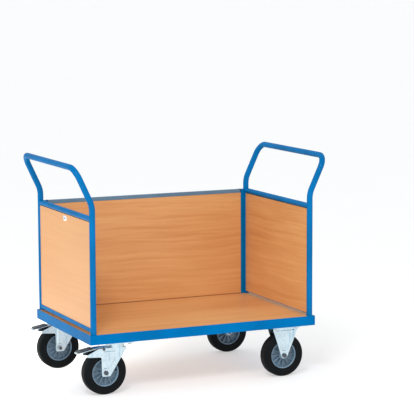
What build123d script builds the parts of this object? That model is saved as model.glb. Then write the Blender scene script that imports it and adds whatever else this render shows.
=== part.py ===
"""Three-sided platform trolley: steel base on two braked swivel casters and two fixed casters,
a wood deck, two tubular end frames with push handles and wood panels, and a rear wood wall.

Axes: X along the length, with the swivel casters at -X.  -Y is the open loading side, +Y the
rear wall, +Z up.  The origin is on the floor under the middle of the base.  All sizes in mm.
"""

import os
from math import cos, hypot, radians, sin, tan

from build123d import *

# ---------------------------------------------------------------- driving dimensions
# base frame
base_length = 1110.0
base_width = 716.0
rail_height = 44.0
rail_wall = 3.0
ledge_width = 25.0
ledge_corner_gap = 62.0
deck_thickness = 15.0
deck_recess = 1.0
deck_side_gap = 0.5
bearer_wall = 3.0
bearer_web_width = 150.0
centre_bearer_width = 60.0
corner_plate_size = 55.0
corner_plate_thickness = 4.0
corner_plate_rise = 8.0
weld_gap = 0.2
screw_hole_gap = 0.3
post_bolt_end_gap = 2.0

# end frames
post_diameter = 27.0
tube_wall = 2.0
post_end_inset = 21.0
kick_height = 571.0
kick_angle = 25.0
kick_bend_radius = 110.0
handle_height = 740.0
corner_bend_radius = 55.0
post_plug_length = 22.0
crossbar_diameter = 25.0
crossbar_height = 512.0

# wood panels and the steel that holds them
panel_thickness = 15.0
panel_side_gap = 0.5
channel_wall = 1.5
channel_side_gap = 0.25
end_angle_height = 18.0
end_angle_sheet = 2.0
end_angle_rise = 10.0
wall_channel_depth = 18.0
wall_height = 520.0
cap_height = 17.0
cap_plug_thickness = 3.0
cap_plug_rise = 1.5
badge_length = 40.0
badge_height = 17.0
badge_thickness = 1.2
badge_edge_radius = 0.7
badge_drop = 33.0
badge_offset = 12.0
badge_pin_radius = 2.0
badge_pin_length = 8.0

# casters
caster_head_height = 35.0
caster_end_inset = 140.0
caster_side_inset = 56.0
top_plate_length = 135.0
top_plate_width = 110.0
top_plate_thickness = 4.0
top_plate_corner = 8.0
bolt_spacing_x = 105.0
bolt_spacing_y = 80.0
wheel_radius = 100.0
tyre_width = 50.0
tyre_seat_radius = 62.5
rim_width = 45.0
rim_lip = 4.5
rim_web = 4.0
rim_rib_count = 12
rim_rib_thickness = 3.0
rim_rib_recess = 5.0
hub_radius = 19.0
hub_side_gap = 0.75
bearing_radius = 14.0
sleeve_radius = 10.0
axle_radius = 6.0
running_gap = 0.05
fork_side_gap = 3.0
fork_sheet = 3.0
fork_emboss = 3.0
emboss_corner = 5.0

# swivel caster
swivel_trail = 58.0
crown_gap = 8.0
crown_sheet = 4.0
crown_front = 38.0
leg_tip_half = 19.5
leg_tip_drop = 16.0
leg_back_flare = 12.0
leg_front_step = 4.0
crown_overhang = 2.0
swivel_emboss_inset = 7.0
swivel_emboss_rise = 20.0
swivel_emboss_slope = 38.0
swivel_emboss_reach = 43.0
swivel_emboss_drop = 14.0
head_radius = 38.0
head_height = 5.0
dust_rim_wall = 3.5
dust_rim_height = 12.0
dust_rim_gap = 1.0
ball_radius = 4.0
ball_pitch_radius = 27.0
ball_count = 16
ball_gap = 0.1
kingpin_radius = 6.0
kingpin_head_radius = 11.0
kingpin_head_height = 4.0
kingpin_head_gap = 0.3
kingpin_head_edge = 1.5

# brake pedal
pedal_pin_back = 67.0
pedal_pin_below_crown = 5.0
pedal_pin_radius = 3.0
pedal_hub_radius = 6.0
pedal_half_width = 23.0
pedal_sheet = 3.0
pedal_reach = 114.0
pedal_knee = 30.0
pedal_knee_rise = 6.0
pedal_tip_drop = 9.0
pedal_lip = 6.0
pedal_lip_drop = 4.2
pedal_hub_cover = 1.0
pedal_travel = 10.0
tread_length = 66.0
tread_base = 3.0
tread_rib_height = 2.5
tread_rib_count = 9
tread_end_gap = 2.0
shoe_back = 23.0
shoe_length = 18.0
shoe_gap = 0.3
shoe_side_gap = 3.0
shoe_rise = 8.0
pedal_pin_spare = 1.0
cheek_reach = 88.0
cheek_end_drop = 26.0
cheek_end_height = 10.0
cheek_root_inset = 2.0
cheek_root_drop = 4.0

# fixed caster
fixed_axle_offset = 6.0
fixed_leg_half = 61.0
fixed_tip_half = 13.0
fixed_tip_drop = 11.5
fixed_tip_radius = 18.0
fixed_shoulder_radius = 14.0
fixed_shoulder_drop = 14.0
fixed_emboss_foot_half = 11.0
fixed_emboss_rise = 22.0
fixed_emboss_drop = 12.0
fixed_emboss_inset = 13.0

# fasteners
m10_radius = 5.0
m10_hole_radius = 5.5
m10_flats = 16.0
m10_head = 6.4
m10_nut = 8.0
m10_spare_thread = 3.0
m12_flats = 18.0
m12_head = 7.5
m12_nut = 10.0
m12_spare_thread = 3.0
wood_screw_radius = 2.0
wood_screw_head_radius = 4.0
wood_screw_head = 3.0
wood_screw_depth = 11.0
deck_screw_x = 200.0
deck_screw_y = 150.0

# tyre section
tyre_shoulder = 11.0
tyre_shoulder_bulge = 3.6
tyre_crown_drop = 1.2
tyre_crown_inset = 10.0
tyre_seat_flare = 3.0

# modelling allowances: how far cuts run past what they cut, and joined pieces run into each other
past = 1.0
into = 0.5

# ---------------------------------------------------------------- places worked out from them
caster_height = 2 * wheel_radius + caster_head_height
half_length = base_length / 2
half_width = base_width / 2
rail_top = caster_height + rail_height
deck_top = rail_top - deck_recess
ledge_top = deck_top - deck_thickness
post_radius = post_diameter / 2
post_x = half_length - post_end_inset
post_y = half_width - rail_wall - weld_gap - post_radius
post_foot = caster_height + corner_plate_rise + corner_plate_thickness
inner_x = half_length - rail_wall
inner_y = half_width - rail_wall
caster_x = half_length - caster_end_inset
caster_y = half_width - caster_side_inset
crossbar_z = deck_top + crossbar_height
wall_top = deck_top + wall_height
channel_width = panel_thickness + 2 * (channel_wall + channel_side_gap)
end_angle_low = deck_top + end_angle_rise
end_panel_low = end_angle_low + end_angle_sheet
leg_inner = tyre_width / 2 + fork_side_gap
leg_outer = leg_inner + fork_sheet
crown_bottom = 2 * wheel_radius + crown_gap
crown_top = crown_bottom + crown_sheet
head_top = crown_top + head_height
plate_bottom = caster_height - top_plate_thickness
pin_x = -pedal_pin_back
pin_z = crown_top - pedal_pin_below_crown


# ---------------------------------------------------------------- small helpers
def block(x_range, y_range, z_range):
    """A box between two corners."""
    size = [high - low for low, high in (x_range, y_range, z_range)]
    centre = [(high + low) / 2 for low, high in (x_range, y_range, z_range)]
    return Pos(*centre) * Box(*size)


def rod(radius, low, high):
    """An upright cylinder on the Z axis from low to high."""
    return Pos(0, 0, (low + high) / 2) * Cylinder(radius, high - low)


def ring(outer, inner, low, high):
    """An upright tube on the Z axis."""
    return rod(outer, low, high) - rod(inner, low - past, high + past)


def cross_rod(radius, low, high):
    """A cylinder on the Y axis from low to high."""
    return Pos(0, (low + high) / 2, 0) * Rot(90, 0, 0) * Cylinder(radius, high - low)


def hexagon(flats, low, high):
    """A hexagonal prism on the Z axis, with corners along X."""
    return Pos(0, 0, low) * extrude(RegularPolygon(flats / 2, 6, major_radius=False), high - low)


def side_plate(points, y_range, corner_radii):
    """A plate in the XZ plane with rounded corners, between two values of Y."""
    outline = make_face(FilletPolyline(*points, radius=corner_radii, close=True))
    low, high = y_range
    return Pos(0, high, 0) * Rot(90, 0, 0) * extrude(outline, high - low)


def mirrored_x(shape):
    """The same piece at the other end of the trolley."""
    return mirror(shape, about=Plane.YZ)


def mirrored_y(shape):
    """The same piece at the other side of the trolley."""
    return mirror(shape, about=Plane.XZ)


def both_ends(shape):
    """A piece and its mirror image at the other end, as one group."""
    return Compound(children=[*shape.solids(), *mirrored_x(shape).solids()])


def four_corners(shape):
    """A piece at each of the four corners, as one group."""
    near = [*shape.solids(), *mirrored_x(shape).solids()]
    far = [solid for piece in near for solid in mirrored_y(piece).solids()]
    return Compound(children=[*near, *far])


def save(shape, node):
    """Write one node's solids."""
    solids = shape.solids()
    result = solids[0] if len(solids) == 1 else Compound(children=list(solids))
    export_step(result, f"parts/{node}.step")


def bolt_places():
    """The four bolt places of a caster's top plate, about its centre."""
    return [
        (side_x * bolt_spacing_x / 2, side_y * bolt_spacing_y / 2)
        for side_x in (-1, 1)
        for side_y in (-1, 1)
    ]


# ---------------------------------------------------------------- base frame
def screw_places():
    """Deck screw places: pairs on the long ledges and pairs on the end ledges."""
    long_y = inner_y - ledge_width / 2
    end_x = inner_x - ledge_width / 2
    long_places = [(x, y) for x in (-deck_screw_x, deck_screw_x) for y in (-long_y, long_y)]
    end_places = [(x, y) for x in (-end_x, end_x) for y in (-deck_screw_y, deck_screw_y)]
    return long_places + end_places


def drill_ledge(rail):
    """Clearance holes for the deck screws."""
    hole = rod(wood_screw_radius + screw_hole_gap, ledge_top - rail_wall - past, ledge_top + past)
    for x, y in screw_places():
        rail -= Pos(x, y, 0) * hole
    return rail


def long_rail():
    """The front rail: an upright face with a ledge inside it that carries the deck."""
    web = block((-half_length, half_length), (-half_width, -inner_y), (caster_height, rail_top))
    ledge_end = half_length - ledge_corner_gap
    ledge = block((-ledge_end, ledge_end), (-inner_y, -inner_y + ledge_width),
                  (ledge_top - rail_wall, ledge_top))
    return drill_ledge(web + ledge)


def end_rail():
    """The rail at +X, butted between the two long rails."""
    web = block((inner_x, half_length), (-inner_y, inner_y), (caster_height, rail_top))
    ledge_end = half_width - ledge_corner_gap
    ledge = block((inner_x - ledge_width, inner_x), (-ledge_end, ledge_end),
                  (ledge_top - rail_wall, ledge_top))
    return drill_ledge(web + ledge)


def bearer(width):
    """A pressed channel across the base, its web down, notched under the side ledges."""
    half = width / 2
    inner_half = inner_y - ledge_width - weld_gap
    channel = block((-half, half), (-inner_y, inner_y), (caster_height, caster_height + bearer_wall))
    for side in (-1, 1):
        x_range = sorted((side * half, side * (half - bearer_wall)))
        low_flange = (caster_height, ledge_top - rail_wall)
        channel += block(x_range, (-inner_y, inner_y), low_flange)
        channel += block(x_range, (-inner_half, inner_half), (caster_height, ledge_top))
    return channel


def caster_bearer():
    """The bearer at +X, with the bolt holes of both its casters."""
    channel = Pos(caster_x, 0, 0) * bearer(bearer_web_width)
    for side in (-1, 1):
        for x, y in bolt_places():
            place = Pos(caster_x + x, side * caster_y + y, 0)
            channel -= place * rod(m10_hole_radius, caster_height - past, caster_height + bearer_wall + past)
    return channel


def corner_plate():
    """The plate inside the corner at +X, -Y that carries the post."""
    low = caster_height + corner_plate_rise
    plate = block((inner_x - corner_plate_size, inner_x), (-inner_y, -inner_y + corner_plate_size),
                  (low, low + corner_plate_thickness))
    return plate - Pos(post_x, -post_y, 0) * rod(m10_hole_radius, low - past, post_foot + past)


def deck_board():
    """The wood deck, let in flush between the rails and notched round the four posts."""
    board_x = inner_x - deck_side_gap
    board_y = inner_y - deck_side_gap
    board = block((-board_x, board_x), (-board_y, board_y), (ledge_top, deck_top))
    notch_radius = post_radius + deck_side_gap
    cut_z = (ledge_top - past, deck_top + past)
    for side_x in (-1, 1):
        for side_y in (-1, 1):
            place = Pos(side_x * post_x, side_y * post_y, 0)
            board -= place * rod(notch_radius, *cut_z)
            slot_y = sorted((0.0, side_y * 2 * post_radius))
            board -= place * block((-notch_radius, notch_radius), slot_y, cut_z)
    for x, y in screw_places():
        board -= Pos(x, y, 0) * rod(wood_screw_radius, ledge_top - past, ledge_top + wood_screw_depth)
    return board


def deck_screws():
    """Screws driven up through the ledges into the deck."""
    head_top = ledge_top - rail_wall
    screw = rod(wood_screw_head_radius, head_top - wood_screw_head, head_top)
    screw += rod(wood_screw_radius, head_top - into, ledge_top + wood_screw_depth - screw_hole_gap)
    return Compound(children=[(Pos(x, y, 0) * screw).solid() for x, y in screw_places()])


def post_bolts():
    """A bolt up through each corner plate into the post's foot."""
    head_top = caster_height + corner_plate_rise
    bolt = hexagon(m10_flats, head_top - m10_head, head_top)
    bolt += rod(m10_radius, head_top - into, post_foot + post_plug_length - post_bolt_end_gap)
    return four_corners(Pos(post_x, -post_y, 0) * bolt)


# ---------------------------------------------------------------- end frames
def handle_frame():
    """The bent tube at +X: two posts, kicked outwards, and the push bar between them."""
    kick_z = deck_top + kick_height
    bar_z = deck_top + handle_height
    bar_x = post_x + (bar_z - kick_z) * tan(radians(kick_angle))
    points = [
        (post_x, -post_y, post_foot),
        (post_x, -post_y, kick_z),
        (bar_x, -post_y, bar_z),
        (bar_x, post_y, bar_z),
        (post_x, post_y, kick_z),
        (post_x, post_y, post_foot),
    ]
    radii = [kick_bend_radius, corner_bend_radius, corner_bend_radius, kick_bend_radius]
    path = FilletPolyline(*points, radius=radii)
    start = Plane(origin=points[0], z_dir=(0, 0, 1))
    section = Circle(post_radius) - Circle(post_radius - tube_wall)
    tube = sweep(start * section, path)
    for side in (-1, 1):
        plug = ring(post_radius - tube_wall / 2, m10_radius, post_foot, post_foot + post_plug_length)
        tube += Pos(post_x, side * post_y, 0) * plug
    return tube


def crossbar():
    """The tube between the posts at +X, above the end panel, its ends coped to the posts."""
    radius = crossbar_diameter / 2
    bar = cross_rod(radius, -post_y, post_y) - cross_rod(radius - tube_wall, -post_y - past, post_y + past)
    for side in (-1, 1):
        bar -= Pos(0, side * post_y, 0) * rod(post_radius, -crossbar_diameter, crossbar_diameter)
    return Pos(post_x, 0, crossbar_z) * bar


def end_angle():
    """The angle at +X, clear of the deck, that the end panel stands on, its upright leg outside."""
    reach = post_y - post_radius - weld_gap
    upright = panel_thickness / 2 + channel_side_gap
    outer = upright + end_angle_sheet
    angle = block((-panel_thickness / 2, outer), (-reach, reach), (end_angle_low, end_panel_low))
    angle += block((upright, outer), (-reach, reach), (end_angle_low, end_angle_low + end_angle_height))
    return Pos(post_x, 0, 0) * angle


def end_panel():
    """The wood panel at +X, between the posts, from the angle up to the crossbar."""
    half = panel_thickness / 2
    reach = post_y - post_radius - panel_side_gap
    top = crossbar_z - crossbar_diameter / 2 - 2 * weld_gap
    return block((post_x - half, post_x + half), (-reach, reach), (end_panel_low, top))


def badge_place(shape):
    """Set a piece that faces +Z on the outer face of the panel at -X, under the crossbar."""
    face_x = -post_x - panel_thickness / 2
    return Pos(face_x, -badge_offset, crossbar_z - badge_drop) * Rot(0, -90, 0) * shape


def maker_badge():
    """A blank oval badge with a pin that is pressed into the panel."""
    plate = extrude(Rot(0, 0, 90) * SlotOverall(badge_length, badge_height), badge_thickness)
    plate = fillet(plate.faces().sort_by(Axis.Z)[-1].edges(), min(badge_edge_radius, 0.9 * badge_thickness))
    return badge_place(plate + rod(badge_pin_radius, -badge_pin_length, into))


# ---------------------------------------------------------------- rear wall
def wall_channel():
    """The upright channel at +X that holds the rear panel's edge, open towards the middle."""
    half = channel_width / 2
    outer_x = post_x - post_radius - weld_gap
    inner = outer_x - wall_channel_depth
    slot_half = half - channel_wall
    outside = block((inner, outer_x), (-half, half), (deck_top, wall_top))
    slot_z = (deck_top - past, wall_top + past)
    slot = block((inner - past, outer_x - channel_wall), (-slot_half, slot_half), slot_z)
    return Pos(0, post_y, 0) * (outside - slot)


def rear_wall_panel():
    """The wood panel along the rear side."""
    reach = post_x - post_radius - weld_gap - channel_wall - panel_side_gap
    half = panel_thickness / 2
    return block((-reach, reach), (post_y - half, post_y + half), (deck_top, wall_top - channel_wall))


def cap_reach():
    """Half the length between the two upright channels."""
    return post_x - post_radius - weld_gap - wall_channel_depth


def wall_cap():
    """The grey edge profile over the rear panel's top, between the upright channels."""
    half = channel_width / 2
    reach = cap_reach() - cap_plug_thickness - weld_gap
    low = wall_top - cap_height
    slot_half = half - channel_wall
    outside = block((-reach, reach), (-half, half), (low, wall_top))
    slot_z = (low - past, wall_top - channel_wall)
    slot = block((-reach - past, reach + past), (-slot_half, slot_half), slot_z)
    return Pos(0, post_y, 0) * (outside - slot)


def cap_plug():
    """The end stop of the cap profile at +X, slotted over the panel."""
    half = channel_width / 2
    slot_half = half - channel_wall
    high = cap_reach() - weld_gap / 2
    inner = high - cap_plug_thickness
    low = wall_top - cap_height
    outside = block((inner, high), (-half, half), (low, wall_top + cap_plug_rise))
    slot = block((inner - past, high + past), (-slot_half, slot_half), (low - past, wall_top - channel_wall))
    return Pos(0, post_y, 0) * (outside - slot)


# ---------------------------------------------------------------- casters
def top_plate():
    """A caster's square top plate with its four bolt holes, about the caster's centre."""
    outline = RectangleRounded(top_plate_length, top_plate_width, top_plate_corner)
    plate = Pos(0, 0, plate_bottom) * extrude(outline, top_plate_thickness)
    for x, y in bolt_places():
        plate -= Pos(x, y, 0) * rod(m10_hole_radius, plate_bottom - past, caster_height + past)
    return plate


def swivel_plate():
    """The top plate with the upper ball race pressed down from it."""
    race_bottom = head_top + 2 * (ball_radius + ball_gap)
    race_radius = head_radius - dust_rim_wall - dust_rim_gap
    plate = top_plate() + rod(race_radius, race_bottom, plate_bottom + into)
    return plate - rod(kingpin_radius, race_bottom - past, caster_height + past)


def kingpin():
    """The riveted pin that the swivel fork turns on."""
    head_high = crown_bottom - kingpin_head_gap
    head = rod(kingpin_head_radius, head_high - kingpin_head_height, head_high)
    head = fillet(head.faces().sort_by(Axis.Z)[0].edges(), kingpin_head_edge)
    return head + rod(kingpin_radius, head_high - into, caster_height - weld_gap)


def swivel_balls():
    """The ring of balls between the swivel head and the top plate."""
    height = head_top + ball_gap + ball_radius
    ball = Pos(ball_pitch_radius, 0, height) * Sphere(ball_radius)
    return [Rot(0, 0, 360 * step / ball_count) * ball for step in range(ball_count)]


def swivel_leg_outline():
    """The leg's outline in X and Z, with the cheek that reaches back along the pedal."""
    axle_x = -swivel_trail
    tip_z = wheel_radius - leg_tip_drop
    back_x = axle_x - leg_tip_half
    cheek_x = axle_x - cheek_reach
    cheek_top = crown_top - cheek_end_drop
    cheek_low = cheek_top - cheek_end_height
    return [
        (back_x, tip_z),
        (axle_x + leg_tip_half, tip_z),
        (crown_front, crown_bottom - leg_front_step),
        (crown_front, crown_top),
        (back_x - leg_back_flare, crown_top),
        (cheek_x, cheek_top),
        (cheek_x, cheek_low),
        (back_x - cheek_root_inset, cheek_low - cheek_root_drop),
    ]


def swivel_emboss_outline():
    """The raised panel pressed in the outside of each leg."""
    axle_x = -swivel_trail
    foot_half = leg_tip_half - swivel_emboss_inset
    foot_z = wheel_radius + swivel_emboss_rise
    front_x = axle_x + swivel_emboss_reach
    high = crown_top - swivel_emboss_drop
    return [
        (axle_x - foot_half, foot_z),
        (axle_x + foot_half, foot_z),
        (front_x, foot_z + swivel_emboss_slope),
        (front_x, high),
        (axle_x - foot_half, high),
    ]


def embossed(points):
    """A raised panel with sloping edges, standing on both outer leg faces."""
    outline = make_face(FilletPolyline(*points, radius=emboss_corner, close=True))
    raised = extrude(outline, fork_emboss, taper=45)
    near = Pos(0, -leg_outer, 0) * Rot(90, 0, 0) * raised
    return near + mirrored_y(near)


def axle_hole(axle_x):
    """What is cut from both legs for the wheel's bolt."""
    reach = leg_outer + past
    return Pos(axle_x, 0, wheel_radius) * cross_rod(axle_radius + running_gap, -reach, reach)


def swivel_fork():
    """The pressed fork with its swivel head, about the swivel axis."""
    axle_x = -swivel_trail
    corner_radii = [8, 8, 10, 2, 12, 3, 3, 8]
    outline = swivel_leg_outline()
    fork = side_plate(outline, (-leg_outer, -leg_inner), corner_radii)
    fork += side_plate(outline, (leg_inner, leg_outer), corner_radii)
    fork += block((axle_x - crown_overhang, crown_front), (-leg_outer, leg_outer), (crown_bottom, crown_top))
    fork += embossed(swivel_emboss_outline())
    fork += rod(head_radius, crown_top - into, head_top)
    fork += ring(head_radius, head_radius - dust_rim_wall, head_top - into, head_top + dust_rim_height)
    fork -= rod(kingpin_radius + running_gap, crown_bottom - past, head_top + past)
    fork -= axle_hole(axle_x)
    pin_reach = leg_outer + fork_emboss + past
    fork -= Pos(pin_x, 0, pin_z) * cross_rod(pedal_pin_radius, -pin_reach, pin_reach)
    return fork


def fixed_leg_outline():
    """The fixed fork's leg: a wide pressed leg that tapers to a rounded tip at the axle."""
    axle_x = -fixed_axle_offset
    tip_z = wheel_radius - fixed_tip_drop
    shoulder_z = plate_bottom - fixed_shoulder_drop
    return [
        (axle_x - fixed_tip_half, tip_z),
        (axle_x + fixed_tip_half, tip_z),
        (fixed_leg_half, shoulder_z),
        (fixed_leg_half, plate_bottom + into),
        (-fixed_leg_half, plate_bottom + into),
        (-fixed_leg_half, shoulder_z),
    ]


def fixed_emboss_outline():
    """The raised panel in the outside of each fixed leg."""
    axle_x = -fixed_axle_offset
    foot_z = wheel_radius + fixed_emboss_rise
    high = plate_bottom - fixed_emboss_drop
    half = fixed_leg_half - fixed_emboss_inset
    return [
        (axle_x - fixed_emboss_foot_half, foot_z),
        (axle_x + fixed_emboss_foot_half, foot_z),
        (half, high - fixed_emboss_drop),
        (half, high),
        (-half, high),
        (-half, high - fixed_emboss_drop),
    ]


def fixed_fork():
    """The fixed caster's fork and top plate, about the plate's centre."""
    axle_x = -fixed_axle_offset
    square = into / 2
    tip, shoulder = fixed_tip_radius, fixed_shoulder_radius
    corner_radii = [tip, tip, shoulder, square, square, shoulder]
    outline = fixed_leg_outline()
    fork = top_plate()
    fork += side_plate(outline, (-leg_outer, -leg_inner), corner_radii)
    fork += side_plate(outline, (leg_inner, leg_outer), corner_radii)
    fork += embossed(fixed_emboss_outline())
    return fork - axle_hole(axle_x)


def axle_bolt():
    """The wheel's bolt on the Y axis, head towards -Y."""
    bolt = hexagon(m12_flats, leg_outer, leg_outer + m12_head)
    bolt += rod(axle_radius, -leg_outer - m12_nut - m12_spare_thread, leg_outer + into)
    return Pos(0, 0, wheel_radius) * Rot(90, 0, 0) * bolt


def axle_nut():
    """The nut on the far side of the fork."""
    nut = hexagon(m12_flats, -leg_outer - m12_nut, -leg_outer)
    nut -= rod(axle_radius, -leg_outer - m12_nut - past, -leg_outer + past)
    return Pos(0, 0, wheel_radius) * Rot(90, 0, 0) * nut


def axle_sleeve():
    """The steel sleeve clamped between the legs, which the wheel's bearing runs on."""
    sleeve = ring(sleeve_radius, axle_radius + running_gap, -leg_inner, leg_inner)
    return Pos(0, 0, wheel_radius) * Rot(90, 0, 0) * sleeve


def wheel_bearing():
    """The roller cage pressed in the hub."""
    half = leg_inner - hub_side_gap
    cage = ring(bearing_radius, sleeve_radius + running_gap, -half, half)
    return Pos(0, 0, wheel_radius) * Rot(90, 0, 0) * cage


def rim():
    """The plastic wheel centre: barrel, web, hub and the ribs on both sides of the web."""
    half = rim_width / 2
    hub_half = leg_inner - hub_side_gap
    barrel_inner = tyre_seat_radius - rim_lip
    body = ring(tyre_seat_radius, barrel_inner, -half, half)
    body += rod(barrel_inner + into, -rim_web / 2, rim_web / 2)
    body += rod(hub_radius, -hub_half, hub_half)
    rib_half = half - rim_rib_recess
    rib_y = (-rim_rib_thickness / 2, rim_rib_thickness / 2)
    rib = block((hub_radius - into, barrel_inner + into), rib_y, (-rib_half, rib_half))
    for step in range(rim_rib_count):
        body += Rot(0, 0, 360 * step / rim_rib_count) * rib
    body -= rod(bearing_radius, -hub_half - past, hub_half + past)
    return Pos(0, 0, wheel_radius) * Rot(90, 0, 0) * body


def tyre():
    """The solid rubber tyre: flat side walls, round shoulders and a slightly crowned tread."""
    half = tyre_width / 2
    seat_half = rim_width / 2
    side_in = tyre_seat_radius + tyre_seat_flare
    side_out = wheel_radius - tyre_shoulder
    bulge = wheel_radius - tyre_shoulder_bulge
    crown_edge = wheel_radius - tyre_crown_drop
    crown_half = half - tyre_crown_inset
    with BuildSketch(Plane.XZ) as section:
        with BuildLine():
            Polyline((tyre_seat_radius, -seat_half), (side_in, -half), (side_out, -half))
            ThreePointArc((side_out, -half), (bulge, -half + tyre_shoulder_bulge), (crown_edge, -crown_half))
            ThreePointArc((crown_edge, -crown_half), (wheel_radius, 0), (crown_edge, crown_half))
            ThreePointArc((crown_edge, crown_half), (bulge, half - tyre_shoulder_bulge), (side_out, half))
            Polyline((side_out, half), (side_in, half), (tyre_seat_radius, seat_half),
                     (tyre_seat_radius, -seat_half))
        make_face()
    body = revolve(section.sketch, Axis.Z)
    return Pos(0, 0, wheel_radius) * Rot(90, 0, 0) * body


# ---------------------------------------------------------------- brake pedal
def about_pin(shape, degrees):
    """Turn a piece about the pedal's pin; positive presses the pedal's tip down."""
    return Pos(pin_x, 0, pin_z) * Rot(0, -degrees, 0) * Pos(-pin_x, 0, -pin_z) * shape


def tread_slope():
    """The pedal plate's angle from level, in degrees, from the knee to the tip."""
    run = pedal_reach - pedal_knee
    fall = pedal_knee_rise + pedal_tip_drop
    return Vector(run, fall).get_angle(Vector(1, 0))


def lever_top():
    """The lever's upper line in X and Z: over the hub, up to the knee, down to the tip and lip."""
    tip = (pin_x - pedal_reach, pin_z - pedal_tip_drop)
    return [
        (pin_x, pin_z + pedal_hub_radius - pedal_hub_cover),
        (pin_x - pedal_knee, pin_z + pedal_knee_rise),
        tip,
        (tip[0] - pedal_lip, tip[1] - pedal_lip_drop),
    ]


def brake_lever():
    """The pressed lever: a hub on the pin, a rising arm, and the sloping foot plate."""
    top = lever_top()
    underside = [(x, z - pedal_sheet) for x, z in reversed(top)]
    half = pedal_half_width
    outline = make_face(Polyline(*top, *underside, close=True))
    plate = Pos(0, half, 0) * Rot(90, 0, 0) * extrude(outline, 2 * half)
    lever = plate + Pos(pin_x, 0, pin_z) * cross_rod(pedal_hub_radius, -half, half)
    return lever - Pos(pin_x, 0, pin_z) * cross_rod(pedal_pin_radius + running_gap, -half - past, half + past)


def brake_tread():
    """The ribbed black pad on the foot plate."""
    pad = block((-tread_length, 0), (-pedal_half_width, pedal_half_width), (0, tread_base))
    pitch = tread_length / tread_rib_count
    for step in range(tread_rib_count):
        rib_x = -pitch * (step + 0.5)
        pad += block((rib_x - pitch / 4, rib_x + pitch / 4), (-pedal_half_width, pedal_half_width),
                     (tread_base - into, tread_base + tread_rib_height))
    slope = tread_slope()
    plate_length = hypot(pedal_reach - pedal_knee, pedal_knee_rise + pedal_tip_drop)
    start = plate_length - tread_length - tread_end_gap
    place = Pos(pin_x - pedal_knee - start * cos(radians(slope)), 0,
                pin_z + pedal_knee_rise - start * sin(radians(slope)))
    return place * Rot(0, -slope, 0) * pad


def brake_shoe():
    """The block under the lever, hollowed to sit round the tyre when the pedal is pressed."""
    middle = pin_x - shoe_back
    shoe_half = pedal_half_width - shoe_side_gap
    pressed = block((middle - shoe_length / 2, middle + shoe_length / 2), (-shoe_half, shoe_half),
                    (wheel_radius, pin_z + shoe_rise))
    tyre_space = cross_rod(wheel_radius + shoe_gap, -tyre_width, tyre_width)
    tyre_space = Pos(-swivel_trail, 0, wheel_radius) * tyre_space
    released = about_pin(pressed - tyre_space, -pedal_travel)
    underside = [(x, z - pedal_sheet) for x, z in lever_top()]
    high = pin_z + wheel_radius
    above = make_face(Polyline(*underside, (underside[-1][0], high), (pin_x, high), close=True))
    above = Pos(0, tyre_width, 0) * Rot(90, 0, 0) * extrude(above, 2 * tyre_width)
    hub_space = Pos(pin_x, 0, pin_z) * cross_rod(pedal_hub_radius, -tyre_width, tyre_width)
    return released - above - hub_space


def pedal_pin():
    """The pin through both cheeks that the lever turns on."""
    reach = leg_outer + pedal_pin_spare
    return Pos(pin_x, 0, pin_z) * cross_rod(pedal_pin_radius, -reach, reach)


# ---------------------------------------------------------------- build every node
os.makedirs("parts", exist_ok=True)

save(long_rail(), "front_rail")
save(mirrored_y(long_rail()), "rear_rail")
save(end_rail(), "right_end_rail")
save(mirrored_x(end_rail()), "left_end_rail")
save(both_ends(caster_bearer()), "caster_bearers")
save(bearer(centre_bearer_width), "centre_bearer")
save(four_corners(corner_plate()), "corner_plates")
save(deck_board(), "deck_board")
save(deck_screws(), "deck_screws")
save(post_bolts(), "post_bolts")

save(handle_frame(), "right_handle_frame")
save(mirrored_x(handle_frame()), "left_handle_frame")
save(both_ends(crossbar()), "crossbars")
save(both_ends(end_angle()), "end_angles")
save(end_panel(), "right_end_panel")
pin_hole = badge_place(rod(badge_pin_radius, -badge_pin_length, past))
save(mirrored_x(end_panel()) - pin_hole, "left_end_panel")
save(maker_badge(), "maker_badge")

save(rear_wall_panel(), "rear_wall_panel")
save(wall_cap(), "wall_cap")
save(both_ends(cap_plug()), "cap_end_plugs")
save(both_ends(wall_channel()), "wall_channels")

nut_low = caster_height + bearer_wall
bolt_end = nut_low + m10_nut + m10_spare_thread
bolt = hexagon(m10_flats, plate_bottom - m10_head, plate_bottom)
bolt += rod(m10_radius, plate_bottom - into, bolt_end)
nut = hexagon(m10_flats, nut_low, nut_low + m10_nut) - rod(m10_radius, nut_low - past, bolt_end)
caster_places = [(side_x * caster_x, side_y * caster_y) for side_x in (-1, 1) for side_y in (-1, 1)]
all_places = [(cx + x, cy + y) for cx, cy in caster_places for x, y in bolt_places()]
save(Compound(children=[(Pos(x, y, 0) * bolt).solid() for x, y in all_places]), "caster_bolts")
save(Compound(children=[(Pos(x, y, 0) * nut).solid() for x, y in all_places]), "caster_nuts")

sides = {"front": -1, "rear": 1}
swivel_places = [Pos(-caster_x, side * caster_y, 0) for side in sides.values()]
save(Compound(children=[(place * swivel_plate()).solid() for place in swivel_places]), "swivel_top_plates")
save(Compound(children=[(place * kingpin()).solid() for place in swivel_places]), "kingpins")
save(Compound(children=[(place * ball).solid() for place in swivel_places for ball in swivel_balls()]),
     "swivel_balls")

fixed_hardware = {"fixed_axle_bolts": axle_bolt(), "fixed_axle_nuts": axle_nut(),
                  "fixed_axle_sleeves": axle_sleeve()}
fixed_wheel_places = [Pos(caster_x - fixed_axle_offset, side * caster_y, 0) for side in sides.values()]
for node, piece in fixed_hardware.items():
    turned = [piece, Rot(0, 0, 180) * piece]
    pieces = [(place * shape).solid() for place, shape in zip(fixed_wheel_places, turned)]
    save(Compound(children=pieces), node)

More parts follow.
